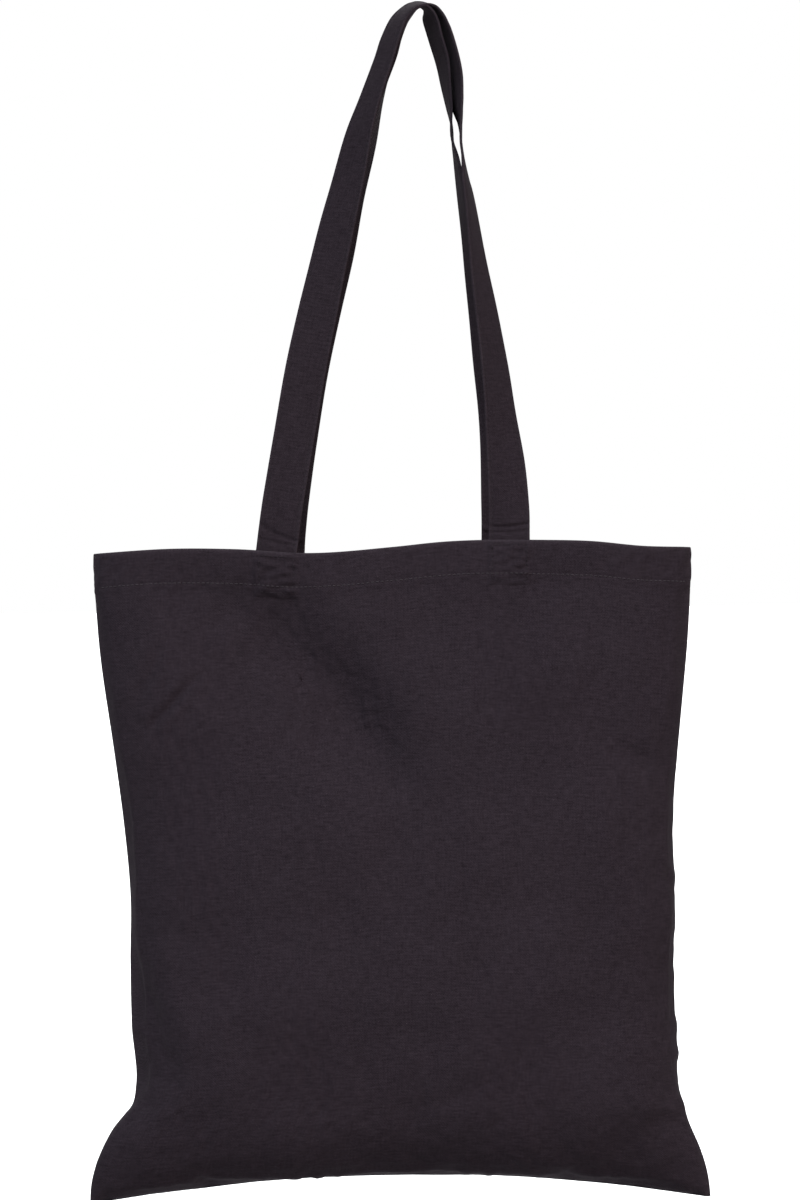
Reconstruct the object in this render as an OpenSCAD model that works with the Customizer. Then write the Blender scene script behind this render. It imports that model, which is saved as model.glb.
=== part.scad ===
// Canvas tote bag with two long shoulder handles, shown as it hangs.
// Millimetres. X runs to the right, Y to the back and Z up.
// The origin is the hang point: the underside of the back handle at its highest place.

/* [Bag body] */
// Width of the flat bag, seam to seam
flat_width = 380; // [300:1:450]
// Height of the hanging bag, from the bottom corners to the rim
bag_height = 400; // [300:1:450]
// Half of the mouth's width
mouth_half_width = 182.5; // [140:0.5:225]
// Half of the body's width at its narrowest
waist_half_width = 167; // [130:0.5:220]
// How far the mouth stands open, from the middle to each panel
mouth_half_depth = 28; // [10:1:60]
// How far the body bulges, from the middle to each panel
belly_half_depth = 56; // [20:1:80]
// Height over which the lower corners flare out to the full width
ear_height = 64; // [30:1:100]
// Height over which each panel turns under to the bottom seam
turn_under_height = 85; // [40:1:130]
// How far the middle of the bottom seam is drawn up
bottom_arch = 12; // [0:1:30]

/* [Cloth] */
// Thickness of the canvas
cloth = 0.6; // [0.3:0.1:1.2]
// Depth of the folded hem
hem_depth = 25; // [15:1:40]
// Distance from the rim down to the hem stitching
hem_stitch_drop = 22; // [10:1:38]
// Width of the seam allowance inside the bag
allowance = 8; // [5:1:15]

/* [Handles] */
// Width of each handle strap
strap_width = 25; // [15:1:40]
// Thickness of the folded strap
strap_thickness = 1.6; // [0.8:0.1:3]
// Length of strap sewn behind the hem
sewn_length = 28; // [15:1:40]
// Distance from the hang point down to the rim
rim_drop = 329; // [250:1:420]
// Distance from the hang point across to the middle of the bag
hang_offset = 20.5; // [0:0.5:40]
// Distance from the bag's middle to each leg of the front handle
front_leg_offset = 70.5; // [40:0.5:110]
// Distance from the bag's middle to each leg of the back handle
back_leg_offset = 67.5; // [40:0.5:110]

/* [Thread] */
// Width of a row of stitching
stitch_width = 0.6; // [0.3:0.1:1.2]
// Thickness of a row of stitching
stitch_thickness = 0.2; // [0.1:0.05:0.5]
// Distance from a strap's edge to its edge stitching
edge_inset = 2.5; // [1:0.5:6]

/* [Detail] */
// Columns of facets across a panel, on each side of the middle
half_columns = 14; // [8:1:20]
// Rows of facets up the flat part of a panel
panel_rows = 15; // [8:1:24]
// Steps between the guide points of a handle
handle_steps = 3; // [2:1:5]

/* [Hidden] */
seam_half = cloth + 0.05;          // inner face of a panel at a seam, from the middle plane
fold_gap = 0.2;                    // space left inside the folded hem
layer_gap = 0.1;                   // clearance between cloth layers lying together
thread_gap = 0.06;                 // clearance between a row of stitching and its cloth
ear_reach = flat_width/2 - waist_half_width;
belly_top = 110;                   // height above which the bulge eases towards the mouth
waist_top = 170;                   // height above which the sides lean out to the mouth
turn_rows = 9;
fold_steps = 4;
bottom_z = -rim_drop - bag_height;
bag_x = -hang_offset;
hem_inner = -(fold_gap + cloth);   // inner face of the hem, measured from the panel's inner face
sewn_outer = hem_inner - layer_gap;
leg_gap = 0.8;                     // a handle leg starts this far above the rim
strap_top = strap_thickness/2;     // middle of the back handle's strap at its highest place

/* ---- shared solid: a ring of points swept along a path ---- */

// Each ring runs anticlockwise when looking along the path, and point k faces point m-1-k.
module tube(rings, closed = false) {
    m = len(rings[0]);
    n = len(rings);
    last = closed ? n - 1 : n - 2;
    at = function(i, k) (i % n)*m + (k % m);
    sides = [for (i = [0:last], k = [0:m - 1], half = [0, 1])
        half == 0 ? [at(i, k), at(i, k + 1), at(i + 1, k + 1)]
                  : [at(i, k), at(i + 1, k + 1), at(i + 1, k)]];
    caps = closed ? [] : [for (k = [0:m/2 - 2], half = [0, 1], end = [0, 1])
        let (base = end*(n - 1)*m, a = base + k, b = base + k + 1,
             c = base + m - 2 - k, d = base + m - 1 - k)
        end == 0 ? (half == 0 ? [c, b, a] : [d, c, a])
                 : (half == 0 ? [a, b, c] : [a, c, d])];
    polyhedron([for (ring = rings, p = ring) p], concat(sides, caps), convexity = 8);
}

/* ---- shape of the hanging cloth ---- */

// h is the height above the bottom corners, u runs from -1 to 1 between the side seams,
// and out is the distance out from the panel's inner face.
function clamp01(t) = min(1, max(0, t));
function ease(t) = let (c = clamp01(t)) c*c*(3 - 2*c);
function half_width(h) = waist_half_width
    + (mouth_half_width - waist_half_width)*ease((h - waist_top)/(bag_height - waist_top))
    + ear_reach*max(0, 1 - pow(max(0, h)/ear_height, 2));
function bulge(h) = belly_half_depth - (belly_half_depth - mouth_half_depth)
    * pow(clamp01((h - belly_top)/(bag_height - belly_top)), 1.5);
function turn_under(h) = pow(1 - pow(1 - clamp01(h/turn_under_height), 2), 0.6);
function across(u) = sqrt(max(0, 1 - pow(abs(u), 3)));
function depth_at(u, h) = seam_half + bulge(h)*turn_under(h)*across(u);
function rise(u, h) = bottom_arch*(1 - u*u)*(1 - h/bag_height);

function skin_normal(u, h) =
    let (near_u = max(-0.995, min(0.995, u)), near_h = max(1.5, h), du = 0.004, dh = 1,
         slope_x = (depth_at(near_u + du, near_h) - depth_at(near_u - du, near_h))
                   /(2*du*half_width(near_h)),
         slope_z = (depth_at(near_u, near_h + dh) - depth_at(near_u, near_h - dh))/(2*dh),
         normal = [-slope_x, 1, -slope_z])
    normal/norm(normal);

// A point on the front half of the bag, which faces -Y.
function skin(u, h, out) =
    let (normal = skin_normal(u, h), at_seam = abs(u) > 0.9999)
    [bag_x + u*half_width(h) + out*normal[0],
     -(at_seam ? seam_half : depth_at(u, h) + out*normal[1]),
     bottom_z + h + rise(u, h) + out*normal[2]];
function skin_x(x, h, out) = skin(x/half_width(h), h, out);

module on_back() { mirror([0, 1, 0]) children(); }
module on_right() { translate([bag_x, 0, 0]) mirror([1, 0, 0]) translate([-bag_x, 0, 0]) children(); }

/* ---- panels ---- */

function panel_heights() = concat(
    [for (j = [0:turn_rows]) turn_under_height*(1 - cos(90*j/turn_rows))],
    [for (j = [1:panel_rows]) turn_under_height
        + (bag_height - hem_depth - turn_under_height)*j/panel_rows],
    [bag_height - hem_depth/2]);

// The cloth's own section: up the panel, over the fold at the rim, and down as the hem.
// Each entry is [height of outer face, out of outer face, height and out of inner face].
function panel_section() =
    let (fold_h = bag_height - cloth - fold_gap/2, fold_out = -fold_gap/2,
         big = cloth + fold_gap/2, small = fold_gap/2)
    concat(
        [for (h = panel_heights()) [h, cloth, h, 0]],
        [for (s = [0:fold_steps]) let (a = 180*s/fold_steps)
            [fold_h + big*sin(a), fold_out + big*cos(a),
             fold_h + small*sin(a), fold_out + small*cos(a)]],
        [for (part = [0.5, 1]) let (h = bag_height - hem_depth*part)
            [h, hem_inner, h, -fold_gap]]);

module panel() {
    section = panel_section();
    last = len(section) - 1;
    tube([for (i = [-half_columns:half_columns]) let (u = sin(90*i/half_columns))
        concat([for (s = section) skin(u, s[0], s[1])],
               [for (k = [last:-1:0]) skin(u, section[k][2], section[k][3])])]);
}

module front_panel() { color("#2b272c") panel(); }
module back_panel() { color("#2b272c") on_back() panel(); }

/* ---- seam allowances and their overlock thread ---- */

seam_clear = 0.3;                              // from the seam line to the allowance
side_low = allowance + 2;                      // the side allowance stops above the bottom one
side_high = bag_height - hem_depth - 1.5;      // and below the hem
side_steps = 24;
bottom_steps = 30;
bottom_reach = 0.985;                          // share of the bottom seam the allowance covers
overlock_reach = 0.955;                        // share of it the overlock thread covers
overlock_period = 15;
overlock_bite = 5;
overlock_wrap = 0.7;                           // how far the thread stands off the raw edge
overlock_out = cloth + layer_gap + stitch_thickness;

module side_seam() {
    tube([for (j = [0:side_steps]) let (h = side_low + (side_high - side_low)*j/side_steps,
            x = bag_x - half_width(h) + seam_clear, z = bottom_z + h)
        [[x + allowance, cloth, z], [x + allowance, -cloth, z], [x, -cloth, z], [x, cloth, z]]]);
}

module left_side_seam() { color("#332e34") side_seam(); }
module right_side_seam() { color("#332e34") on_right() side_seam(); }

module bottom_seam() {
    color("#332e34")
    tube([for (i = [0:bottom_steps]) let (u = bottom_reach*(2*i/bottom_steps - 1),
            x = bag_x + u*half_width(0), z = bottom_z + rise(u, 0) + seam_clear)
        [[x, -cloth, z], [x, -cloth, z + allowance], [x, cloth, z + allowance], [x, cloth, z]]]);
}

// One turn of the overlock as [share of the period, bite into the allowance, face].
overlock_turn = [[0, 1, -1], [0.2, 0, -1], [0.3, 0, 1], [0.5, 1, 1], [0.7, 0, 1], [0.8, 0, -1]];
function overlock_route(length) = [for (t = [0:floor(length/overlock_period) - 1], p = overlock_turn)
    [(t + p[0])*overlock_period, p[1]*(overlock_bite + overlock_wrap) - overlock_wrap,
     p[2]*overlock_out]];

module side_overlock() {
    half = stitch_width/2;
    flat = stitch_thickness/2;
    tube([for (p = overlock_route(side_high - side_low - 4)) let (h = side_low + 2 + p[0],
            x = bag_x - half_width(h) + seam_clear + allowance - p[1], z = bottom_z + h)
        [[x + half, p[2] + flat, z], [x + half, p[2] - flat, z],
         [x - half, p[2] - flat, z], [x - half, p[2] + flat, z]]]);
}

module left_overlock() { color("#4a444b") side_overlock(); }
module right_overlock() { color("#4a444b") on_right() side_overlock(); }

module bottom_overlock() {
    half = stitch_width/2;
    flat = stitch_thickness/2;
    span = 2*overlock_reach*half_width(0);
    color("#4a444b")
    tube([for (p = overlock_route(span)) let (x_rel = p[0] - span/2, u = x_rel/half_width(0),
            x = bag_x + x_rel, z = bottom_z + rise(u, 0) + seam_clear + allowance - p[1])
        [[x, p[2] - flat, z - half], [x, p[2] - flat, z + half],
         [x, p[2] + flat, z + half], [x, p[2] + flat, z - half]]]);
}

/* ---- handles ---- */

// Guide points from the left leg, over the top, to the right leg: [x, z, twist].
// A twist of 90 faces the strap's outside to the front, and -90 to the back.
leg_start = -rim_drop + leg_gap;
front_route = [
    [bag_x - front_leg_offset, leg_start, 90], [-88.5, -312, 90], [-80, -264, 90],
    [-71, -215, 86], [-60, -165, 68], [-48, -116, 56], [-40, -80, 43], [-32, -55, 34],
    [-22, -31, 31], [-18.5, -18, 28], [-14, -5, 20], [-8, 2, 12], [0, strap_top + 3.6, 3],
    [8, 0.5, -4], [13, -8, -9], [17, -18, -10], [20, -31, -10], [22, -50, -8], [23, -75, 2],
    [25, -95, 5], [28, -116, 11], [34.5, -165, 27], [42, -215, 40], [47.5, -264, 58],
    [50, -304, 82], [bag_x + front_leg_offset, leg_start, 90]];
back_route = [
    [bag_x - back_leg_offset, leg_start, -90], [-86.5, -312, -90], [-79.5, -264, -86],
    [-70.5, -215, -76], [-57.5, -165, -56], [-43.5, -116, -32], [-31, -80, -8], [-24.5, -55, 4],
    [-17.5, -31, 14], [-14, -18, 15], [-10, -7, 13], [-5, -1, 8], [0, strap_top, 1],
    [5, -2, -4], [8, -9, -7], [10.5, -18, -9], [13.5, -31, -9], [16, -43, -7], [17.5, -55, -5],
    [18.5, -72, 0], [20, -90, -2], [24, -116, -12], [32.5, -165, -30], [40, -215, -46],
    [45.5, -264, -64], [47, -304, -84], [bag_x + back_leg_offset, leg_start, -90]];

// Smooth curve through the guide points.
function spline(a, b, c, d, t) = 0.5*(2*b + (c - a)*t + (2*a - 5*b + 4*c - d)*t*t
    + (3*b - a - 3*c + d)*t*t*t);
function smooth_route(route) =
    let (last = len(route) - 1, before = 2*route[0] - route[1], after = 2*route[last] - route[last - 1])
    concat([for (i = [0:last - 1], s = [0:handle_steps - 1])
        spline(i == 0 ? before : route[i - 1], route[i], route[i + 1],
               i == last - 1 ? after : route[i + 2], s/handle_steps)], [route[last]]);

// The straps come up from behind the hem and lean in to meet over the middle.
function leg_depth(offset) = depth_at(offset/mouth_half_width, bag_height)
    + sewn_outer - strap_thickness/2;
function strap_centres(route, y_base) = [for (p = smooth_route(route))
    [p[0], y_base*max(0, p[1]/leg_start), p[1]]];

// For every step along a strap: [middle, direction along, direction across, outward direction].
function strap_frames(route, y_base) =
    let (c = strap_centres(route, y_base), twist = [for (p = smooth_route(route)) p[2]],
         last = len(c) - 1)
    [for (i = [0:last])
        let (raw = c[min(last, i + 1)] - c[max(0, i - 1)],
             along = i == 0 ? [0, -y_base, rim_drop]/norm([0, y_base, rim_drop])
                   : i == last ? [0, y_base, -rim_drop]/norm([0, y_base, rim_drop])
                   : raw/norm(raw),
             flat = [0, 1, 0] - along[1]*along,
             across_0 = flat/norm(flat),
             out_0 = cross(along, across_0))
        [c[i], along, cos(twist[i])*across_0 + sin(twist[i])*out_0,
         cos(twist[i])*out_0 - sin(twist[i])*across_0]];

// The strap has a narrow band of facets under each row of edge stitching.
module strap(frames) {
    w = strap_width/2;
    t = strap_thickness/2;
    under = [w - edge_inset + stitch_width/2, w - edge_inset - stitch_width/2];
    across_points = concat([w], under, [-under[1], -under[0], -w]);
    tube([for (f = frames) concat(
        [for (x = across_points) f[0] + x*f[2] - t*f[3]],
        [for (k = [len(across_points) - 1:-1:0]) f[0] + across_points[k]*f[2] + t*f[3]])]);
}

// One row of stitching that runs up one edge of the strap and back down the other.
module strap_stitching(frames) {
    across_at = strap_width/2 - edge_inset;
    low = strap_thickness/2 + thread_gap;
    high = low + stitch_thickness;
    half = stitch_width/2;
    first = 1;
    last = len(frames) - 2;
    stops = concat([for (i = [first:last]) [i, 1]], [for (i = [last:-1:first]) [i, -1]]);
    tube([for (s = stops) let (f = frames[s[0]], end = s[0] == first ? -1 : s[0] == last ? 1 : 0,
            outward = s[1]*f[2] + end*f[1], middle = f[0] + s[1]*across_at*f[2])
        [middle - half*outward + low*f[3], middle - half*outward + high*f[3],
         middle + half*outward + high*f[3], middle + half*outward + low*f[3]]], closed = true);
}

front_frames = strap_frames(front_route, -leg_depth(front_leg_offset));
back_frames = strap_frames(back_route, leg_depth(back_leg_offset));

module front_handle() { color("#28242a") strap(front_frames); }
module back_handle() { color("#28242a") strap(back_frames); }
module front_handle_stitching() { color("#4a444b") strap_stitching(front_frames); }
module back_handle_stitching() { color("#4a444b") strap_stitching(back_frames); }

/* ---- sewn ends of the handles, on the inside of the hem ---- */

sewn_columns = 4;
sewn_rows = 3;
module sewn_end(offset) {
    low = bag_height - sewn_length;
    high = bag_height - 0.2;
    heights = [for (j = [0:sewn_rows]) low + (high - low)*j/sewn_rows];
    tube([for (i = [0:sewn_columns]) let (x = offset + strap_width*(i/sewn_columns - 0.5))
        concat([for (h = heights) skin_x(x, h, sewn_outer)],
               [for (j = [sewn_rows:-1:0]) skin_x(x, heights[j], sewn_outer - strap_thickness)])]);
}

module front_handle_left_end() { color("#28242a") sewn_end(-front_leg_offset); }
module front_handle_right_end() { color("#28242a") sewn_end(front_leg_offset); }
module back_handle_left_end() { color("#28242a") on_back() sewn_end(-back_leg_offset); }
module back_handle_right_end() { color("#28242a") on_back() sewn_end(back_leg_offset); }

/* ---- stitching that shows on the outside of the panels ---- */

stitch_out = cloth + thread_gap;

module hem_stitching() {
    h = bag_height - hem_stitch_drop;
    tube([for (i = [1 - half_columns:half_columns - 1]) let (u = sin(90*i/half_columns))
        [skin(u, h - stitch_width/2, stitch_out),
         skin(u, h - stitch_width/2, stitch_out + stitch_thickness),
         skin(u, h + stitch_width/2, stitch_out + stitch_thickness),
         skin(u, h + stitch_width/2, stitch_out)]]);
}

module front_hem_stitching() { color("#4a444b") hem_stitching(); }
module back_hem_stitching() { color("#4a444b") on_back() hem_stitching(); }

// A rectangle of thread that holds one strap end; it crosses over the hem stitching.
box_half_width = strap_width/2 - 2;
box_high = bag_height - 3.5;
box_low = bag_height - sewn_length + 2;
box_side_steps = 4;
box_out = stitch_out + stitch_thickness + thread_gap;

module box_stitching(offset) {
    w = box_half_width;
    half = stitch_width/2;
    step = (box_high - box_low)/box_side_steps;
    left = [for (j = [0:box_side_steps]) [-w, box_low + j*step,
        -1, j == 0 ? -1 : j == box_side_steps ? 1 : 0]];
    right = [for (j = [box_side_steps:-1:0]) [w, box_low + j*step,
        1, j == 0 ? -1 : j == box_side_steps ? 1 : 0]];
    stops = concat(left, [[0, box_high, 0, 1]], right, [[0, box_low, 0, -1]]);
    place = function(s, side, out)
        skin_x(offset + s[0] + side*half*s[2], s[1] + side*half*s[3], out);
    tube([for (s = stops) [place(s, -1, box_out), place(s, -1, box_out + stitch_thickness),
                           place(s, 1, box_out + stitch_thickness), place(s, 1, box_out)]],
         closed = true);
}

module front_left_box_stitching() { color("#4a444b") box_stitching(-front_leg_offset); }
module front_right_box_stitching() { color("#4a444b") box_stitching(front_leg_offset); }
module back_left_box_stitching() { color("#4a444b") on_back() box_stitching(-back_leg_offset); }
module back_right_box_stitching() { color("#4a444b") on_back() box_stitching(back_leg_offset); }

front_panel();
back_panel();
left_side_seam();
right_side_seam();
bottom_seam();
front_handle();
back_handle();
front_handle_left_end();
front_handle_right_end();
back_handle_left_end();
back_handle_right_end();
front_hem_stitching();
back_hem_stitching();
front_left_box_stitching();
front_right_box_stitching();
back_left_box_stitching();
back_right_box_stitching();
left_overlock();
right_overlock();
bottom_overlock();
front_handle_stitching();
back_handle_stitching();
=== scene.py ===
"""Canvas tote bag with two long handles, hanging from the highest place of its handles.

Metres. X runs to the right, Y to the back and Z up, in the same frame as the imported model.
The bag itself is worked out in a frame of its own, with X from its middle and Z from its rim,
and moved to its place at the end.
"""

import math

import bmesh
import bpy
import numpy as np
from mathutils import Euler, Matrix, Vector


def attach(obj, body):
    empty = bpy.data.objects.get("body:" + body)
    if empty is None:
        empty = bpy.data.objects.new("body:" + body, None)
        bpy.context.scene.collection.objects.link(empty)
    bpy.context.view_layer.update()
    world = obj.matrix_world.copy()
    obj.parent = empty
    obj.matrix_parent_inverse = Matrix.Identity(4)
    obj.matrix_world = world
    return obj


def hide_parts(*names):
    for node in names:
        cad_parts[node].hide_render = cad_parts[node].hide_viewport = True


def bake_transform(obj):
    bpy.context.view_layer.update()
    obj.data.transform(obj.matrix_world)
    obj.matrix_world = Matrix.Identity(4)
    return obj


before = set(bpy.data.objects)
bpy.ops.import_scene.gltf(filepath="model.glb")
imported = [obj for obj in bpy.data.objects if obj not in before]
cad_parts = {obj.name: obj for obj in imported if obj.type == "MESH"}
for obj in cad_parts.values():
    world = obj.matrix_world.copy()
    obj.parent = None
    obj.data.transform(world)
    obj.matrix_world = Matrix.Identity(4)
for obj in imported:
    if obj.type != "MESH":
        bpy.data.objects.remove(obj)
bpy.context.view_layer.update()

# ---- sizes ----

MM = 0.001
FLAT_WIDTH = 0.380          # the cut between the side seams
FLAT_HEIGHT = 0.420         # the cut from the bottom seam to the rim
BAG_HEIGHT = 0.400          # hanging, from the bottom corners to the rim
MOUTH_HALF_WIDTH = 0.1825
MOUTH_HALF_DEPTH = 0.028
CLOTH = 0.0006
FOLD_GAP = 0.0002           # left inside the folded hem
LAYER_GAP = 0.0001          # between cloth layers lying together
HEM_DEPTH = 0.025
HEM_STITCH = 0.022          # from the rim down to the hem's stitching
ALLOWANCE = 0.008
STRAP_WIDTH = 0.025
STRAP_THICKNESS = 0.0016
SEWN_LENGTH = 0.028
EDGE_INSET = 0.0025         # from a strap's edge to its edge stitching
BAG_X = -0.0205             # the bag's middle, from the hang point
RIM_Z = -0.329              # the rim, below the hang point
FRONT_LEG = 0.0705          # from the bag's middle to a leg of the front handle
BACK_LEG = 0.0675
HINGE_Z = -0.3282           # where the handles turn, just above the rim
SEAM_GAP = 0.00065          # from the middle plane to a panel, where the panels meet
HEM_FACE = -(FOLD_GAP + CLOTH)              # the hem's free face, out from the panel's inner face
SEWN_FACE = HEM_FACE - LAYER_GAP            # the outside of a sewn strap end
TOP_ROW = 0.0008            # the highest row of cloth below the fold at the rim
BOX_HALF_WIDTH = 0.0105     # of the stitched box that holds a strap end
BOX_TOP, BOX_BOTTOM = 0.0035, 0.026         # below the rim
FRONT, BACK = -1, 1         # the side of the bag, as the sign of Y


# ---- small helpers ----

def ease(t):
    c = np.clip(t, 0, 1)
    return c*c*(3 - 2*c)


def unit(v):
    return v/np.maximum(np.linalg.norm(v, axis=-1, keepdims=True), 1e-12)


def distances(points):
    """How far each point of a line is from its first one, along the line."""
    return np.concatenate([[0], np.cumsum(np.linalg.norm(np.diff(points, axis=0), axis=1))])


def spread(at, length, values):
    """The values along a line, at some distances; length says where the values are."""
    return np.stack([np.interp(at, length, values[:, k]) for k in range(3)], axis=-1)


def bell(distance, width):
    return np.exp(-(distance/width)**2)


def guide(points, at):
    """A smooth curve through given (place, value) points."""
    xs, ys = np.array(points, float).T
    slope = np.gradient(ys, xs)
    at = np.clip(at, xs[0], xs[-1])
    k = np.clip(np.searchsorted(xs, at, side="right") - 1, 0, len(xs) - 2)
    span = xs[k + 1] - xs[k]
    t = (at - xs[k])/span
    return ((1 + 2*t)*(1 - t)**2*ys[k] + t*(1 - t)**2*span*slope[k]
            + t*t*(3 - 2*t)*ys[k + 1] + t*t*(t - 1)*span*slope[k + 1])


def cubic_rows(grid, at):
    """Rows of a grid at fractional places, on a smooth cubic curve through them."""
    ends = np.concatenate([2*grid[:1] - grid[1:2], grid, 2*grid[-1:] - grid[-2:-1]])
    k = np.clip(np.floor(at).astype(int), 0, len(grid) - 2)
    t = (at - k).reshape(-1, *[1]*(grid.ndim - 1))
    a, b, c, d = ends[k], ends[k + 1], ends[k + 2], ends[k + 3]
    return 0.5*(2*b + (c - a)*t + (2*a - 5*b + 4*c - d)*t*t + (3*b - a - 3*c + d)*t**3)


def resample(grid, rows, columns):
    across = cubic_rows(grid.transpose(1, 0, 2), columns)
    return cubic_rows(across.transpose(1, 0, 2), rows)


def spaced(start, stop, coarse, fine, zones):
    """Places from start to stop, closer together in the zones."""
    places = [start]
    while places[-1] < stop - 0.5*fine:
        inside = any(low <= places[-1] < high for low, high in zones)
        places.append(places[-1] + (fine if inside else coarse))
    return np.array(places)*(stop - start)/(places[-1] - start) + start*(
        1 - (stop - start)/(places[-1] - start))


def waves(x, z, seed, size, count=14):
    """Smooth, repeatable unevenness about size across, near one high."""
    draw = np.random.RandomState(seed)
    total = np.zeros_like(x)
    for _ in range(count):
        angle, phase = draw.uniform(0, math.pi), draw.uniform(0, 2*math.pi)
        k = 2*math.pi/(size*draw.uniform(0.7, 1.6))
        total += np.sin(k*(x*math.cos(angle) + z*math.sin(angle)) + phase)
    return total/math.sqrt(count/2)


def placed(name, data):
    """Makes an object of the data and adds it to the scene."""
    obj = bpy.data.objects.new(name, data)
    bpy.context.scene.collection.objects.link(obj)
    return obj


# ---- the bag's cloth: simulated, then fitted and creased ----

SIM_COLUMNS, SIM_ROWS = 76, 84


def start_shape(side, u, v):
    """The pillow that the simulation starts from; u is -1 to 1 across and v 0 to 1 up."""
    h = v*BAG_HEIGHT
    waist, ear, belly = 0.167, 0.064, 0.050
    width = (waist + (MOUTH_HALF_WIDTH - waist)*ease((h - 0.17)/0.23)
             + (FLAT_WIDTH/2 - waist)*max(0, 1 - (h/ear)**2))
    bulge = belly - (belly - MOUTH_HALF_DEPTH)*float(np.clip((h - 0.11)/0.29, 0, 1))**1.3
    turn = (1 - (1 - min(1, h/0.085))**2)**0.6
    depth = SEAM_GAP + bulge*turn*math.sqrt(max(0, 1 - abs(u)**3))
    return u*width, side*depth, h - BAG_HEIGHT + 0.012*(1 - u*u)*(1 - v)


def simulate():
    """Two flat panels, joined at the sides and the bottom, filled out and hung by the rim."""
    index, flat, start, faces = {}, [], [], []

    def point(side, i, j):
        seam = i in (0, SIM_COLUMNS) or j == 0
        key = (0 if seam else side, i, j)
        if key not in index:
            u, v = 2*i/SIM_COLUMNS - 1, j/SIM_ROWS
            flat.append((u*FLAT_WIDTH/2, 0, (v - 1)*FLAT_HEIGHT))
            x, y, z = start_shape(side, u, v)
            start.append((x, 0 if seam else y, z))
            index[key] = len(flat) - 1
        return index[key]

    for side in (FRONT, BACK):
        for j in range(SIM_ROWS):
            for i in range(SIM_COLUMNS):
                quad = [point(side, i, j), point(side, i + 1, j),
                        point(side, i + 1, j + 1), point(side, i, j + 1)]
                faces.append(quad if side == FRONT else quad[::-1])

    points = np.array(start)
    points = hang(np.array(flat), points, faces, index)
    return [np.array([[points[point(side, i, j)] for i in range(SIM_COLUMNS + 1)]
                      for j in range(SIM_ROWS + 1)]) for side in (FRONT, BACK)]


def hang(flat, start, faces, index):
    """Runs the cloth simulation ten times life size, where Blender's solver is steadier."""
    scale, frames, pinned_rows = 10, 40, 3
    mesh = bpy.data.meshes.new("hanging")
    mesh.from_pydata((flat*scale).tolist(), [], faces)
    cloth = placed("hanging", mesh)
    cloth.shape_key_add(name="flat")
    key = cloth.shape_key_add(name="start")
    key.data.foreach_set("co", (start*scale).ravel())
    key.value = 1
    pin = cloth.vertex_groups.new(name="pin")
    press = cloth.vertex_groups.new(name="press")
    for (side, i, j), n in index.items():
        if j > SIM_ROWS - pinned_rows:
            pin.add([n], 1, "REPLACE")
        up = j/SIM_ROWS*FLAT_HEIGHT
        weight = ease((up - 0.01)/0.08)*(1 - 0.6*ease((up - 0.30)/0.12))
        press.add([n], float(weight), "REPLACE")
    modifier = cloth.modifiers.new("Cloth", "CLOTH")
    s = modifier.settings
    s.quality, s.mass, s.air_damping = 6, 0.1, 2
    s.tension_stiffness, s.compression_stiffness, s.shear_stiffness = 40, 20, 10
    s.bending_model, s.bending_stiffness, s.bending_damping = "ANGULAR", 1, 1
    s.tension_damping = s.compression_damping = s.shear_damping = 10
    s.vertex_group_mass, s.pin_stiffness = "pin", 1
    s.use_pressure, s.uniform_pressure_force, s.vertex_group_pressure = True, 0.25, "press"
    s.rest_shape_key = cloth.data.shape_keys.key_blocks["flat"]
    modifier.collision_settings.use_collision = False
    modifier.collision_settings.use_self_collision = False
    scene = bpy.context.scene
    before = scene.frame_current, scene.frame_start, scene.frame_end
    scene.frame_start, scene.frame_end = 1, frames
    modifier.point_cache.frame_start, modifier.point_cache.frame_end = 1, frames
    for number in range(1, frames + 1):
        scene.frame_set(number)
    hung = cloth.evaluated_get(bpy.context.evaluated_depsgraph_get()).data
    points = np.zeros(len(hung.vertices)*3)
    hung.vertices.foreach_get("co", points)
    bpy.data.objects.remove(cloth)
    bpy.data.meshes.remove(mesh)
    scene.frame_start, scene.frame_end = before[1:]
    scene.frame_set(before[0])
    return points.reshape(-1, 3)/scale


# Half widths of the hanging bag, by height above its bottom corners, in millimetres.
LEFT_OUTLINE = [(0, 190.5), (12, 190), (35, 182), (47, 175), (59, 165), (72, 160), (108, 163.5),
                (150, 164.5), (185, 163), (230, 166.5), (280, 173), (330, 180), (400, 183.5)]
RIGHT_OUTLINE = [(0, 190.5), (12, 189.5), (31, 184.5), (55, 174.5), (68, 171.5), (90, 172.5),
                 (180, 171), (250, 173), (300, 176.5), (350, 180), (400, 181.5)]
# How far the rim waves up and down, by distance across from the bag's middle.
FRONT_RIM = [(-183, -2), (-130, 0.3), (-95, -0.5), (-50, -3.4), (0, -0.3), (30, 2.5), (90, 3),
             (120, 2), (152, -1.2), (183, -2)]
BACK_RIM = [(-183, -2), (-120, -2), (-50, -5), (0, -3), (60, 0), (110, -1.5), (183, -2)]

# Creases as (points of the path, half width, depth): (x, height above the corners), in millimetres.
FRONT_CREASES = [
    ([(-118, 346), (-104, 358), (-84, 368)], 8, 1.6),
    ([(-150, 290), (-133, 308), (-115, 328)], 2.8, 2),
    ([(-160, 300), (-149, 322), (-139, 343)], 4, 1.3),
    ([(-163, 160), (-152, 120), (-139, 82)], 10, 5),
    ([(129, 280), (145, 271), (162, 261)], 7, 2.2),
    ([(5, 60), (22, 66), (48, 76)], 5, 0.7),
    ([(2, 14), (20, 19), (38, 24)], 3, 1.1),
    ([(60, 368), (78, 345), (84, 318)], 9, 1.0),
]
BACK_CREASES = [
    ([(-96, 358), (-66, 322), (-30, 290)], 15, 2.4),
    ([(88, 360), (60, 330), (34, 280), (30, 240)], 16, 2.6),
    ([(150, 150), (141, 118), (128, 84)], 12, 2.4),
    ([(-140, 140), (-128, 110), (-120, 88)], 10, 1.6),
    ([(-20, 60), (10, 70), (36, 66)], 6, 0.8),
    ([(128, 300), (139, 288), (151, 281)], 3, 0.9),
]

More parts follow.
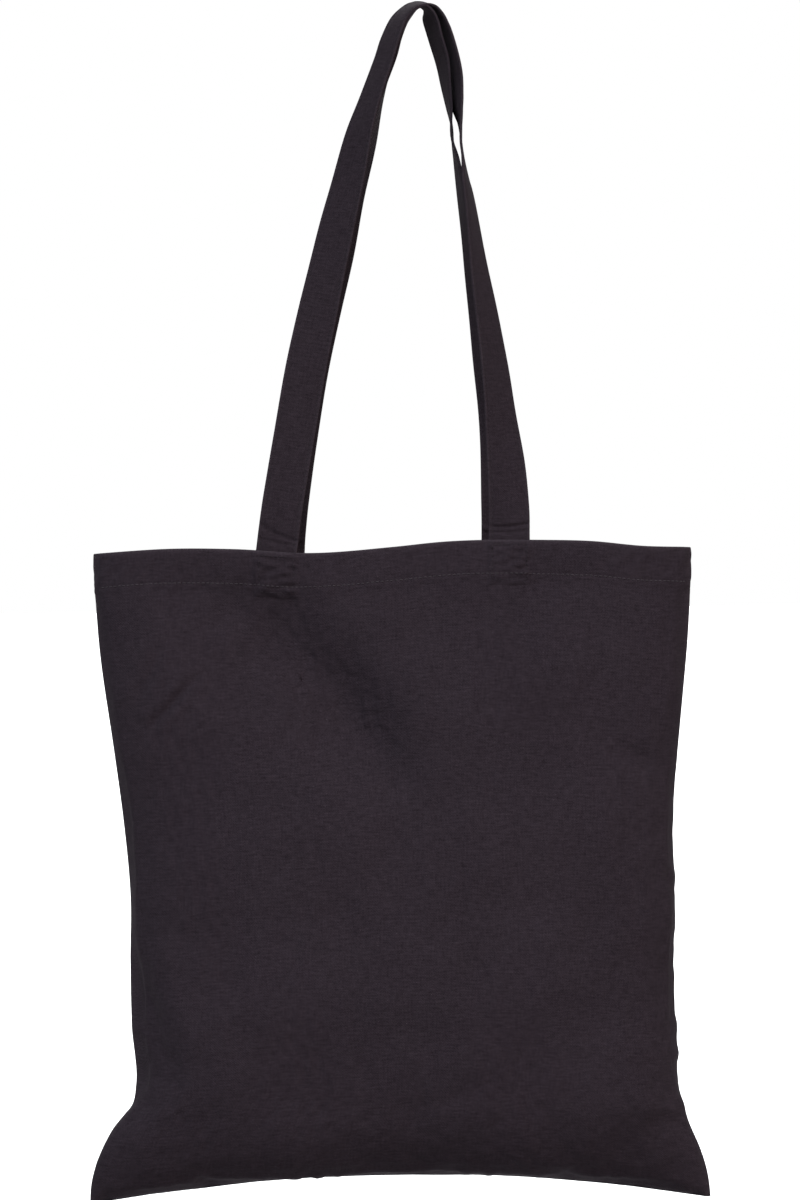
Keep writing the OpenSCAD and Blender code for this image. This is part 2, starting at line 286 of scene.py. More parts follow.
# The pulls under the front's left strap end: wide valleys, as (points of the line, half width below
# it and above it, depth).
FRONT_PULLS = [
    ([(-92, 364), (-67, 345), (-41, 320), (-25, 297), (-11, 273), (2, 238)], 32, 29, 19),
    ([(-120, 348), (-98, 314), (-68, 291), (-38, 280)], 20, 20, 4),
]
PULL_SOFTENING = 14          # smoothing passes, which take out the jumps where a line bends

COLUMNS = spaced(-190, 190, 2.5, 1.5, [(-160, -118), (-89, -53), (53, 89)])*MM
DROPS = spaced(TOP_ROW/MM, 420, 2.5, 1.4, [(0, 30), (76, 116)])[::-1]*MM


def along_crease(x, h, path):
    """Distance from a crease's path, less than 0 to its right, and how far along it, from 0 to 1."""
    steps = np.linspace(0, len(path) - 1, 30)
    px, ph = (guide([(k, p[axis]*MM) for k, p in enumerate(path)], steps) for axis in (0, 1))
    best = np.full(x.shape, 1.0)
    share = np.zeros(x.shape)
    for k in range(len(steps) - 1):
        dx, dh = px[k + 1] - px[k], ph[k + 1] - ph[k]
        t = np.clip(((x - px[k])*dx + (h - ph[k])*dh)/(dx*dx + dh*dh), 0, 1)
        off = np.hypot(x - px[k] - t*dx, h - ph[k] - t*dh)
        turn = np.where(dx*(h - ph[k]) - dh*(x - px[k]) < 0, -1, 1)
        share = np.where(off < np.abs(best), (k + t)/(len(steps) - 1), share)
        best = np.where(off < np.abs(best), turn*off, best)
    return best, share


def pulled(x, h):
    """How far back the cloth falls along the front's pulls."""
    fall = np.zeros(x.shape)
    for line, below, above, depth in FRONT_PULLS:
        off, share = along_crease(x, h, line)
        width = np.where(off < 0, below, above*(1 - 0.45*share))*MM
        taper = (1 - 0.3*share)*np.sin(np.clip(share, 0.02, 0.98)*math.pi)**0.5
        fall += depth*MM*taper*bell(off, width)
    for _ in range(PULL_SOFTENING):
        padded = np.pad(fall, 1, mode="edge")
        fall = (padded[:-2, 1:-1] + padded[2:, 1:-1] + padded[1:-1, :-2] + padded[1:-1, 2:] + 4*fall)/8
    return fall


def fit_outline(front, back):
    """Stretches both panels sideways by a few percent, to the outline the bag hangs in."""
    left, right = front[:, 0], front[:, -1]
    for grid in (front, back):
        z = grid[..., 2]
        low_x = np.interp(z, left[:, 2], left[:, 0])
        high_x = np.interp(z, right[:, 2], right[:, 0])
        share = (grid[..., 0] - low_x)/(high_x - low_x)
        h = (z + BAG_HEIGHT)/MM
        new_low, new_high = -guide(LEFT_OUTLINE, h)*MM, guide(RIGHT_OUTLINE, h)*MM
        grid[..., 0] = new_low + share*(new_high - new_low)


def crease(grid, side, creases, rim, seed):
    """Adds the rim's wave, the creases, and the small puckers along the seams."""
    x, h = grid[..., 0].copy(), grid[..., 2] + BAG_HEIGHT
    drop = DROPS[:, None]
    normal = grid_normals(grid, side)
    out = 0.9*MM*waves(x, h, seed, 0.09) + 0.22*MM*waves(x, h, seed + 1, 0.032)
    for path, width, depth in creases:
        off, share = along_crease(x, h, path)
        w = width*MM
        valley = bell(off, w) - 0.35*bell(np.abs(off) - 2*w, w)
        out -= depth*MM*valley*np.sin(np.clip(share, 0.02, 0.98)*math.pi)**0.7
    if side == FRONT:
        out -= pulled(x, h)
    from_side = FLAT_WIDTH/2 - np.abs(COLUMNS)[None, :]
    along = np.broadcast_to(drop, x.shape)
    out += 0.15*MM*waves(along, 0*along, seed + 2, 0.013)*np.exp(-from_side/0.006)
    from_bottom = FLAT_HEIGHT - drop
    out += 0.6*MM*waves(x, 0*x, seed + 3, 0.014)*np.exp(-from_bottom/0.007)
    fixed = ease(drop/0.03)*ease(from_side/0.004)*ease(from_bottom/0.003)
    grid += normal*(out*fixed)[..., None]
    grid[..., 2] += guide(rim, x/MM)*MM*(1 - ease((drop - 0.03)/0.09))
    grid[..., 1] += side*0.7*MM*waves(x, 0*x, seed + 4, 0.12)*(1 - ease((drop - 0.03)/0.06))*ease(
        from_side/0.03)


def grid_normals(grid, side):
    across, up = np.gradient(grid, axis=1), np.gradient(grid, axis=0)
    return unit(np.cross(across, up))*(-side)


def hung_panels():
    rows = (FLAT_HEIGHT - DROPS)/FLAT_HEIGHT*SIM_ROWS
    columns = (COLUMNS/FLAT_WIDTH + 0.5)*SIM_COLUMNS
    front, back = (resample(grid, rows, columns) for grid in simulate())
    for grid in (front, back):
        grid[..., 2] *= -BAG_HEIGHT/grid[..., 2].min()
    fit_outline(front, back)
    crease(front, FRONT, FRONT_CREASES, FRONT_RIM, 3)
    crease(back, BACK, BACK_CREASES, BACK_RIM, 23)
    for at in (np.s_[:, 0], np.s_[:, -1], np.s_[0, :]):
        middle = (front[at] + back[at])/2
        front[at] = back[at] = middle
    return front, back


# ---- meshes ----

class Build:
    """Collects points, faces, flat-cloth coordinates and wear, and makes one piece of them."""

    def __init__(self):
        self.points, self.faces, self.flat, self.wear, self.count = [], [], [], [], 0

    def add(self, points, faces, flat, wear=0.0):
        points = np.asarray(points, float).reshape(-1, 3)
        self.points.append(points)
        self.faces.append(np.asarray(faces, int).reshape(-1, 4) + self.count)
        self.flat.append(np.broadcast_to(np.asarray(flat, float).reshape(-1, 2), (len(points), 2)))
        self.wear.append(np.broadcast_to(np.asarray(wear, float).ravel(), (len(points),)))
        self.count += len(points)

    def piece(self, name, material):
        points = np.concatenate(self.points) + np.array([BAG_X, 0, RIM_Z])
        faces = np.concatenate(self.faces)
        mesh = bpy.data.meshes.new(name)
        mesh.from_pydata(points.tolist(), [], faces.tolist())
        mesh.polygons.foreach_set("use_smooth", [True]*len(faces))
        flat = mesh.uv_layers.new(name="flat")
        flat.data.foreach_set("uv", np.concatenate(self.flat)[faces.ravel()].ravel())
        wear = mesh.attributes.new("wear", "FLOAT", "POINT")
        wear.data.foreach_set("value", np.concatenate(self.wear).astype(np.float32))
        mesh.materials.append(material)
        mesh.update()
        return placed(name, mesh)


def grid_faces(rows, columns, closed_rows=False):
    """Quads over a grid of points, joined round from the last row to the first if closed."""
    j = np.arange(rows if closed_rows else rows - 1)[:, None]
    i = np.arange(columns - 1)[None, :]
    a, b = j*columns + i, (j + 1) % rows*columns + i
    return np.stack([a, a + 1, b + 1, b], axis=-1).reshape(-1, 4)


def rolled(outer, inner):
    """Faces of a sheet whose two faces are given row by row, closed on every side."""
    rows, columns = outer.shape[:2]
    loop = np.concatenate([outer, inner[::-1]])
    faces = [grid_faces(2*rows, columns, closed_rows=True)]
    k = np.arange(rows - 1)
    far = 2*rows - 1 - k
    for end in (0, columns - 1):
        cap = np.stack([k, k + 1, far - 1, far], axis=-1)*columns + end
        faces.append(cap[:, ::-1] if end == 0 else cap)
    return loop, np.concatenate(faces)


def stitches(build, points, normals, pitch=0.003, share=0.86, width=0.0006, height=0.0004):
    """A row of thread stitches along a line on the cloth; each one dips in at its ends."""
    length = distances(points)
    count = int(length[-1]//pitch)
    pitch = length[-1]/count
    rise = np.array([-0.75, 0.3, 0.55, 0.3, -0.75])
    fat = np.array([0.5, 0.9, 1.0, 0.9, 0.5])
    at = (np.arange(count)[:, None] + 0.5 + share*np.array([-0.5, -0.3, 0, 0.3, 0.5]))*pitch
    centre, up = spread(at, length, points), unit(spread(at, length, normals))
    along = unit(centre[:, -1:] - centre[:, :1])
    aside = unit(np.cross(up, along))
    centre = centre + up*(rise*height)[None, :, None]
    angles = np.linspace(0, 2*math.pi, 6, endpoint=False)
    ring = (centre[:, :, None] + aside[:, :, None]*(np.cos(angles)*width/2)[None, None, :, None]
            *fat[None, :, None, None]
            + up[:, :, None]*(np.sin(angles)*height/2)[None, None, :, None]*fat[None, :, None, None])
    r, s = np.arange(4)[:, None], np.arange(6)[None, :]
    one = np.stack([r*6 + s, r*6 + (s + 1) % 6, (r + 1)*6 + (s + 1) % 6, (r + 1)*6 + s], axis=-1)
    caps = np.array([[0, 5, 4, 1], [1, 4, 3, 2], [24, 25, 28, 29], [25, 26, 27, 28]])
    one = np.concatenate([one.reshape(-1, 4), caps])
    faces = (np.arange(count)[:, None, None]*30 + one[None]).reshape(-1, 4)
    flat = np.stack([np.repeat(at, 6, axis=1).ravel(),
                     np.tile(angles/math.pi*0.0006, count*5)], axis=-1)
    build.add(ring, faces, flat)


def cord(build, points, radius, sides=5):
    """A thread that follows a line of points."""
    tangent = unit(np.gradient(points, axis=0))
    aside = unit(np.cross(tangent, np.array([0.31, 0.2, 0.93])))
    up = np.cross(aside, tangent)
    angles = np.linspace(0, 2*math.pi, sides, endpoint=False)[:, None, None]
    rings = points + radius*(np.cos(angles)*aside + np.sin(angles)*up)
    length = distances(points)
    flat = np.stack([np.tile(length, sides), np.repeat(angles.ravel()/math.pi*0.0006, len(points))],
                    axis=-1)
    build.add(rings, grid_faces(sides, len(points), closed_rows=True), flat)


# ---- panels ----

def box_mask(x, drop, legs):
    """One inside the patches where strap ends lie behind the hem, zero outside."""
    total = np.zeros_like(x)
    for leg in legs:
        aside = STRAP_WIDTH/2 - np.abs(x - leg)
        below = SEWN_LENGTH - drop
        total = np.maximum(total, ease(aside/0.0012 + 0.5)*ease(below/0.0014 + 0.5))
    return total*ease(drop/0.0025)


def outer_swell(x, drop, legs, seed):
    """How far the outside of the cloth stands out over the hem and the sewn strap ends."""
    band = 0.35*MM*ease((HEM_DEPTH - drop)/0.0016 + 0.5)*ease(drop/0.003)
    pucker = ease((0.032 - drop)/0.006)*ease(drop/0.004)
    swell = band - 0.3*MM*bell(drop - HEM_STITCH, 0.0013)
    swell += 0.2*MM*pucker*waves(x + 0.6*drop, 0.35*drop, seed, 0.009)
    patch = box_mask(x, drop, legs)
    swell += 1.4*MM*patch
    for leg in legs:
        near = np.abs(x - leg)
        inside = ease((STRAP_WIDTH/2 - near)/0.001)*ease((SEWN_LENGTH - drop)/0.001)
        rows = (bell(near - BOX_HALF_WIDTH, 0.0011)*ease((0.027 - drop)/0.001)
                + (bell(drop - BOX_TOP, 0.0011) + bell(drop - BOX_BOTTOM, 0.0011))
                *ease((0.0115 - near)/0.001))
        swell -= 0.6*MM*rows*inside
        swell += 0.5*MM*inside*waves(0.6*x, drop*1.9, seed + 5, 0.0085)
    return np.maximum(swell, -0.35*MM)


def make_panel(name, grid, other, side, legs, material, seed):
    """The cloth of one side with its hem folded in; returns its piece and the surface for later."""
    normal = grid_normals(grid, side)
    for at, near in ((np.s_[:, 0], np.s_[:, 1]), (np.s_[:, -1], np.s_[:, -2]),
                     (np.s_[0, 1:-1], np.s_[1, 1:-1])):
        normal[at] = unit(grid[at] - (grid[near] + other[near])/2)
    border = np.zeros(grid.shape[:2], bool)
    border[:, [0, -1]] = border[0, :] = True
    y = np.array([0, side, 0])

    def layer(offset):
        """The cloth moved out by offset; along a seam both panels meet."""
        offset = np.broadcast_to(offset, border.shape)[..., None]
        moved = grid + normal*offset
        at_seam = grid + normal*np.where(offset > 0, 0.9, 1.6)*offset + y*np.where(
            offset > 0, 0.04*MM, 0.3*MM)
        return np.where(border[..., None], at_seam, moved)

    x, drop = grid[..., 0], np.broadcast_to(DROPS[:, None], grid.shape[:2])
    thick = CLOTH + outer_swell(x, drop, legs, seed)
    outer, inner = layer(thick), layer(-0.01*MM)
    hem = DROPS <= HEM_DEPTH + 0.0007
    hem[-1] = False
    hem_free, hem_back = layer(HEM_FACE)[hem][::-1], layer(-FOLD_GAP)[hem][::-1]
    centre = layer(-FOLD_GAP/2)[-1]
    up = unit(grid[-1] - grid[-2])
    turn = np.radians([15, 45, 75, 105, 135, 165])[:, None, None]

    def fold(radius):
        return centre + radius*(np.cos(turn)*normal[-1] + np.sin(turn)*up)

    outside = np.concatenate([outer, fold(CLOTH + FOLD_GAP/2), hem_free])
    inside = np.concatenate([inner, fold(FOLD_GAP/2), hem_back])
    points, faces = rolled(outside, inside)
    if side == BACK:
        faces = faces[:, ::-1]

    length = FLAT_HEIGHT - np.concatenate([DROPS, np.linspace(0, -0.0015, len(turn)),
                                           -DROPS[hem][::-1]])
    flat = np.stack(np.broadcast_arrays(COLUMNS[None, :], length[:, None]), axis=-1)
    from_side = FLAT_WIDTH/2 - np.abs(COLUMNS)[None, :]
    wear = np.maximum(0.3*np.exp(-from_side/0.0012),
                      0.6*np.exp(-np.abs(length - FLAT_HEIGHT)/0.0012)[:, None])
    wear = np.maximum(wear, 0.15*np.exp(-length/0.0012)[:, None])
    wear = np.maximum(wear, 0.7*np.exp(-np.hypot(from_side, length[:, None])/0.006))
    build = Build()
    build.add(points, faces, np.concatenate([flat, flat[::-1]]), np.concatenate([wear, wear[::-1]]))
    surface = {"grid": grid, "outer": outer, "normal": normal, "side": side}
    return build.piece(name, material), surface


def on_panel(surface, layer, x, drop):
    """A layer's point and normal at x and drop, by interpolation in the panel's own grid."""
    x, drop = np.broadcast_arrays(np.asarray(x, float), np.asarray(drop, float))
    rows = np.interp(drop.ravel(), DROPS[::-1], np.arange(len(DROPS))[::-1])
    points, normals = [], []
    for xi, row in zip(x.ravel(), rows):
        j = min(int(row), len(DROPS) - 2)
        t = row - j
        line = surface[layer][j]*(1 - t) + surface[layer][j + 1]*t
        facing = surface["normal"][j]*(1 - t) + surface["normal"][j + 1]*t
        i = np.interp(xi, line[:, 0], np.arange(len(line)))
        k = min(int(i), len(line) - 2)
        points.append(line[k]*(1 - i + k) + line[k + 1]*(i - k))
        normals.append(facing[k]*(1 - i + k) + facing[k + 1]*(i - k))
    return (np.array(points).reshape(*x.shape, 3), unit(np.array(normals)).reshape(*x.shape, 3))


# ---- handles ----

# Guide points from the left leg, over the top, to the right leg: x and z in millimetres from
# the hang point, and the twist in degrees. 90 faces the strap's outside to the front.
FRONT_ROUTE = [
    (-91, -328.2, 90), (-88.5, -312, 90), (-80, -264, 90), (-71, -215, 86), (-60, -165, 68),
    (-48, -116, 56), (-39.4, -80, 42), (-31.2, -55, 32), (-22.6, -31, 29), (-18.6, -18, 28),
    (-13.8, -6.5, 25), (-8.6, -0.2, 21), (-4, 2.9, 18), (1, 3.7, 14.5), (5.6, 2.9, 8),
    (8.8, -0.6, -4), (11.8, -6, -11), (14.3, -12, -13), (16.3, -18, -13.5), (19.6, -31, -14),
    (21.6, -43, -15), (22.1, -55, -14), (22.4, -61, -12), (23.6, -68, -4), (24, -76, 1.5),
    (24, -82, 2), (25.3, -92, 3), (26.6, -104, 8), (28.5, -116, 13), (35.5, -165, 27),
    (42, -215, 40), (47.5, -264, 58), (50, -304, 82), (50, -328.2, 90)]
BACK_ROUTE = [
    (-88, -328.2, -90), (-86.5, -312, -90), (-79.5, -264, -86), (-70.5, -215, -76),
    (-57.5, -165, -56), (-43.2, -116, -32), (-31, -80, -12), (-24.4, -55, -2), (-17.2, -31, 8),
    (-14.8, -18, 14), (-12, -8.2, 19), (-8, -2.4, 19), (-3.4, 1.2, 14), (1, 1.8, 8.5),
    (3.6, 0, -5), (5.3, -4, -15), (7.4, -10, -18), (9.4, -18, -17), (12.9, -31, -15.5),
    (14.8, -43, -10.5), (16.8, -55, -6.5), (17.7, -61, -5), (18.4, -70, 0.5), (18.7, -80, 1),
    (21.1, -92, -4), (25, -116, -10), (32.7, -165, -29), (40, -215, -46), (45.5, -264, -64),
    (47, -304, -84), (47, -328.2, -90)]


def leg_depth(leg):
    """How far a handle's leg stands from the middle plane at the rim."""
    across = math.sqrt(1 - (leg/MOUTH_HALF_WIDTH)**3)
    return SEAM_GAP + MOUTH_HALF_DEPTH*across + SEWN_FACE - STRAP_THICKNESS/2


class Strap:
    """A folded strap: both sewn ends follow the inside of the hem, and the loop its own route."""

    def __init__(self, route, leg, surface, dips):
        self.surface, self.leg, self.dips = surface, leg, dips
        self.side = surface["side"]
        steps = 24                                   # from one guide point to the next
        smooth = cubic_rows(np.array(route, float), np.arange((len(route) - 1)*steps + 1)/steps)
        x, z = smooth[:, 0]*MM, smooth[:, 1]*MM
        y = self.side*leg_depth(leg)*np.maximum(0, z/HINGE_Z)
        line = np.stack([x - BAG_X, y, z - RIM_Z], axis=-1)
        length = distances(line)
        self.loop_length = length[-1]
        middle = length[-1]/2
        zones = ((0, 0.018, 0.0007), (0.018, 0.03, 0.0012), (0.03, middle - 0.07, 0.0032),
                 (middle - 0.07, middle, 0.0018))
        near_ends = np.concatenate([np.arange(*zone) for zone in zones])
        at = np.concatenate([near_ends, (length[-1] - near_ends)[::-1]])
        self.at = np.unique(np.round(at, 7))
        self.line = spread(self.at, length, line)
        twist = np.radians(np.interp(self.at, length, smooth[:, 2]))[:, None]
        along = unit(np.gradient(self.line, self.at, axis=0))
        across = unit(np.array([0, 1, 0]) - along[:, 1:2]*along)
        out = np.cross(along, across)
        self.across = np.cos(twist)*across + np.sin(twist)*out
        self.out = np.cos(twist)*out - np.sin(twist)*across
        self.down = np.arange(SEWN_LENGTH, 0.0004, -0.0014)

    def sewn(self, end, drop, a, b):
        """A point on a sewn end, with a across and b out, behind the hem."""
        turn = self.side*(1 if end < 0 else -1)      # which way across points there
        point, normal = on_panel(self.surface, "grid", end*self.leg + turn*a, drop)
        rise = TOP_ROW - np.minimum(drop, TOP_ROW)
        point = point + np.array([0, 0, 1.0])*np.asarray(rise)[..., None]
        return point + normal*(SEWN_FACE - STRAP_THICKNESS/2 + b)[..., None], normal

    def rows(self, a, b):
        """The strap's whole length at (a, b), as points and outward directions."""
        a, b = np.asarray(a, float), np.asarray(b, float)
        left, left_out = self.sewn(-1, self.down[:, None], a[None], b[None])
        right, right_out = self.sewn(1, self.down[::-1, None], a[None], b[None])
        at = self.at[:, None]
        wave = (0.35*MM*waves(at + 0.7*a, 0.2*a + 0*at, 41 + self.side, 0.055)
                *ease(at/0.05)*ease((self.loop_length - at)/0.05)
                *ease((np.abs(at - self.loop_length/2) - 0.01)/0.06))
        crown = 0.0
        for end, place, slant, deep, wide in self.dips:
            from_end = at if end < 0 else self.loop_length - at
            sideways = self.side*(1 if end < 0 else -1)*a
            off = from_end - place*MM - slant*sideways - 6*sideways**2
            crown = crown - deep*MM*bell(off, wide*MM)*(1 - (sideways/0.0135)**4)
        depth = b[None] + wave + crown
        loop = (self.line[:, None] + a[None, :, None]*self.across[:, None]
                + depth[..., None]*self.out[:, None])
        for end, k, from_end in ((-1, 0, at), (1, -1, self.loop_length - at)):
            tip, _ = self.sewn(end, np.zeros((1, 1)), a[None], b[None])
            base = self.line[k] + a[:, None]*self.across[k] + b[:, None]*self.out[k]
            loop += (1 - ease(from_end/0.03))[..., None]*(tip - base)
        out = np.broadcast_to(self.out[:, None], loop.shape)
        return np.concatenate([left, loop, right]), np.concatenate([left_out, out, right_out])

    def lengths(self):
        return np.concatenate([-self.down, self.at, self.loop_length + self.down[::-1]])


def strap_section():
    """Points round the folded strap: (across, out, wear). Stitching pulls it in near the edges."""
    w, t = STRAP_WIDTH/2, STRAP_THICKNESS/2
    seam = w - EDGE_INSET
    half = [(w - 0.05*MM, 0.35*t), (w - 0.45*MM, 0.82*t), (w - 1.1*MM, 0.95*t), (seam + 0.7*MM, 0.8*t),
            (seam, 0.58*t), (seam - 0.8*MM, 0.86*t), (seam - 2*MM, 1.0*t), (5*MM, 1.05*t),
            (2.5*MM, 1.03*t)]
    top = half + [(0, 1.02*t)] + [(-x, y) for x, y in half[::-1]]
    notch = [(-w + 0.4*MM, 0)]                       # the slit between the two folded edges
    under = [(-x, -y) for x, y in top]
    ring = top + notch + under + [(w, 0)]
    a, b = np.array(ring).T
    wear = 0.35*np.exp(-(w - np.abs(a))/(0.9*MM))
    return a, b, wear


def make_strap(name, strap, material):
    a, b, wear = strap_section()
    points, _ = strap.rows(a, b)
    loop = points.transpose(1, 0, 2)
    rows, columns = loop.shape[:2]
    faces = grid_faces(rows, columns, closed_rows=True)
    edge = distances(np.stack([a, b], axis=-1))
    flat = np.stack(np.broadcast_arrays(edge[:, None], strap.lengths()[None, :]), axis=-1)
    build = Build()
    build.add(loop, faces, flat, np.repeat(wear, columns))
    half = (rows - 2)//2                              # points on each face, edge to edge
    top = np.arange(half)
    under = rows - 2 - top
    cap = np.stack([top[:-1], top[1:], under[1:], under[:-1]], axis=-1)*columns
    corners = np.array([[half - 1, half, half + 1], [0, rows - 2, rows - 1]])*columns
    triangles = []
    for end, step in ((0, -1), (columns - 1, 1)):
        build.faces.append((cap + end)[:, ::step])
        triangles += (corners + end)[:, ::step].tolist()
    piece = build.piece(name, material)
    turn_outwards(piece, triangles)
    return piece


def turn_outwards(piece, triangles=()):
    """Adds the three-sided faces, if any, to a piece and turns all its faces outwards."""
    mesh = bmesh.new()
    mesh.from_mesh(piece.data)
    mesh.verts.ensure_lookup_table()
    for triangle in triangles:
        face = mesh.faces.new([mesh.verts[n] for n in triangle])
        face.smooth = True
    bmesh.ops.recalc_face_normals(mesh, faces=mesh.faces)
    mesh.to_mesh(piece.data)
    mesh.free()


def make_strap_thread(name, strap, material):
    """Edge stitching on both faces of a strap, along its whole length."""
    seam = STRAP_WIDTH/2 - EDGE_INSET
    build = Build()
    for a in (seam, -seam):
        for face in (1, -1):
            points, out = strap.rows([a], [face*0.62*STRAP_THICKNESS/2])
            points, out = points[:, 0], out[:, 0]*face
            first = len(strap.down) - 2 if face > 0 else 1
            keep = slice(first, -first)
            stitches(build, points[keep], out[keep], pitch=0.0031, width=0.0005, height=0.0003)
    return build.piece(name, material)


# ---- materials ----

class Shader:
    """Short names for making the nodes of a material or a world and joining them."""

    def __init__(self, owner):
        owner.use_nodes = True
        self.owner, self.tree = owner, owner.node_tree
        self.tree.nodes.clear()

    def put(self, socket, value):
        """Joins a socket to the one given as its value, or sets a plain value."""
        if isinstance(value, bpy.types.NodeSocket):
            self.tree.links.new(value, socket)
        else:
            socket.default_value = value

    def node(self, kind, inputs=(), **settings):
        made = self.tree.nodes.new("ShaderNode" + kind)
        for key, value in settings.items():
            setattr(made, key, value)
        for key, value in dict(inputs).items():
            self.put(made.inputs[key], value)
        return made

    def maths(self, operation, a, b=0.0, c=0.0):
        return self.node("Math", {0: a, 1: b, 2: c}, operation=operation).outputs[0]

    def total(self, start, *parts):
        """The start value and each part times its weight, added up."""
        for value, weight in parts:
            start = self.maths("MULTIPLY_ADD", value, weight, start)
        return start

    def cloth(self):
        """The flat-cloth coordinates, in millimetres."""
        return self.stretched(self.node("UVMap", uv_map="flat").outputs[0], 1000, 1000)

    def stretched(self, vector, x, y):
        return self.node("VectorMath", {0: vector, 1: (x, y, 1)}, operation="MULTIPLY").outputs[0]

    def noise(self, vector, scale, detail=2.0, rough=0.5):
        made = self.node("TexNoise", {"Vector": vector, "Scale": scale, "Detail": detail,
                                      "Roughness": rough})
        return made.outputs["Fac"]

    def ramp(self, value, low, high, to_low=0.0, to_high=1.0):
        made = self.node("MapRange", {"Value": value, "From Min": low, "From Max": high,
                                      "To Min": to_low, "To Max": to_high})
        return made.outputs["Result"]

    def mix(self, factor, a, b, blend="MIX"):
        made = self.node("Mix", data_type="RGBA", blend_type=blend)
        for number, value in ((0, factor), (6, a), (7, b)):
            self.put(made.inputs[number], value)
        return made.outputs[2]

    def finish(self, color, roughness, normal, sheen, specular):
        surface = self.node("BsdfPrincipled", {
            "Base Color": color, "Roughness": roughness, "Normal": normal, "Sheen Weight": sheen,
            "Sheen Roughness": 0.45, "Sheen Tint": (0.9, 0.85, 0.95, 1), "Specular IOR Level": specular})
        self.node("OutputMaterial", {0: surface.outputs[0]})
        return self.owner


def canvas(name, dark, light, fleck, pitch=0.85):
    """Dyed cotton canvas; pitch is the width of a yarn in millimetres."""
    s = Shader(bpy.data.materials.new(name))
    cloth = s.cloth()
    wander = s.node("TexNoise", {"Vector": cloth, "Scale": 0.16, "Detail": 1.0}).outputs["Color"]
    moved = s.node("VectorMath", {0: wander, 1: (1.1, 1.1, 0), 2: cloth},
                   operation="MULTIPLY_ADD").outputs[0]
    split = s.node("SeparateXYZ", {0: moved})
    warp = s.maths("SINE", s.maths("MULTIPLY", split.outputs[0], math.pi/pitch))
    weft = s.maths("SINE", s.maths("MULTIPLY", split.outputs[1], math.pi/pitch))
    over = s.maths("MULTIPLY", warp, weft)
    slub = s.noise(s.stretched(cloth, 0.14, 0.72), 1.0, 3.0, 0.70)     # uneven weft yarns
    rib = s.noise(s.stretched(cloth, 0.75, 0.12), 1.0, 3.0, 0.65)      # uneven warp yarns
    grain = s.noise(cloth, 0.95, 3.0, 0.7)
    cloudy = s.noise(cloth, 0.018, 3.0, 0.5)
    speck = s.ramp(s.noise(s.stretched(cloth, 0.75, 1.15), 1.0, 2.0, 0.75), 0.66, 0.78)
    tone = s.total(-1.30, (slub, 1.50), (rib, 0.80), (grain, 1.20), (cloudy, 0.30), (over, 0.10))
    color = s.mix(s.ramp(tone, 0.0, 1.2), dark, light)
    color = s.mix(s.maths("MULTIPLY", speck, 0.55), color, fleck)
    worn = s.node("Attribute", attribute_name="wear", attribute_type="GEOMETRY").outputs["Fac"]
    worn = s.maths("MULTIPLY", worn, s.ramp(grain, 0.35, 0.65, 0.15, 0.5))
    color = s.mix(worn, color, fleck)
    rough = s.ramp(slub, 0.3, 0.7, 0.82, 0.95)
    height = s.total(s.maths("MULTIPLY", slub, 1.7), (over, 0.5), (rib, 0.8), (grain, 0.7))
    bump = s.node("Bump", {"Height": height, "Strength": 0.75, "Distance": 0.00012})
    return s.finish(color, rough, bump.outputs[0], 0.004, 0.02)


def thread(name, dark, light, shine):
    """Twisted sewing thread: the twist shows as slanting ridges along it."""
    s = Shader(bpy.data.materials.new(name))
    cloth = s.cloth()
    split = s.node("SeparateXYZ", {0: cloth})
    slant = s.maths("MULTIPLY_ADD", split.outputs[1], 5.2, s.maths("MULTIPLY", split.outputs[0], 9.0))
    ply = s.maths("SINE", slant)
    fuzz = s.noise(cloth, 1.4)
    tone = s.maths("MULTIPLY_ADD", ply, 0.22, fuzz)
    color = s.mix(s.ramp(tone, 0.2, 0.8), dark, light)
    bump = s.node("Bump", {"Height": ply, "Strength": 0.5, "Distance": 0.00008})
    return s.finish(color, s.ramp(fuzz, 0.3, 0.7, 0.55, 0.75), bump.outputs[0], 0.2*shine, shine)


def pale_floor():
    s = Shader(bpy.data.materials.new("pale_floor"))
    place = s.node("TexCoord").outputs["Object"]
    color = s.mix(s.noise(place, 1.5, 2.0), (0.93, 0.93, 0.93, 1), (0.96, 0.96, 0.96, 1))
    grain = s.noise(place, 60, 2.0)
    bump = s.node("Bump", {"Height": grain, "Strength": 0.05, "Distance": 0.001})
    return s.finish(color, s.ramp(grain, 0.3, 0.7, 0.85, 0.95), bump.outputs[0], 0.0, 0.2)


# ---- camera, floor and light ----

CAMERA_LEVEL = -0.3615
CAMERA_X = -0.0165
CAMERA_DISTANCE = 2.0
CAMERA_ROLL = math.radians(-0.66)        # the bag hangs a little lower on its left
FLOOR_Z = -1.25
# Soft lights: name, strength, spread in degrees, the way they shine, colour.
LIGHTS = [("key", 3.55, 20, (0.22, 0.84, -1.0), (0.94, 1.0, 1.05)),
          ("fill", 1.9, 40, (-0.80, 0.7, -0.25), (1.0, 0.76, 0.64)),
          ("behind", 2.6, 30, (0.05, -0.85, -0.75), (1.0, 1.0, 1.0))]
# Brightness of the surround from straight down, 0, by the horizon, 0.5, to straight up, 1.
SURROUND = [(0.0, 0.45), (0.25, 0.8), (0.47, 0.9), (0.495, 1.0), (0.61, 1.0), (0.72, 0.55), (1.0, 0.7)]


def make_camera():
    data = bpy.data.cameras.new("camera")
    data.lens, data.sensor_width = 97.9, 36
    camera = placed("camera", data)
    camera.location = (CAMERA_X, -CAMERA_DISTANCE, CAMERA_LEVEL)
    level = Euler((math.pi/2, 0, 0)).to_matrix()
    camera.rotation_euler = (level @ Matrix.Rotation(CAMERA_ROLL, 3, "Z")).to_euler()
    bpy.context.scene.camera = camera


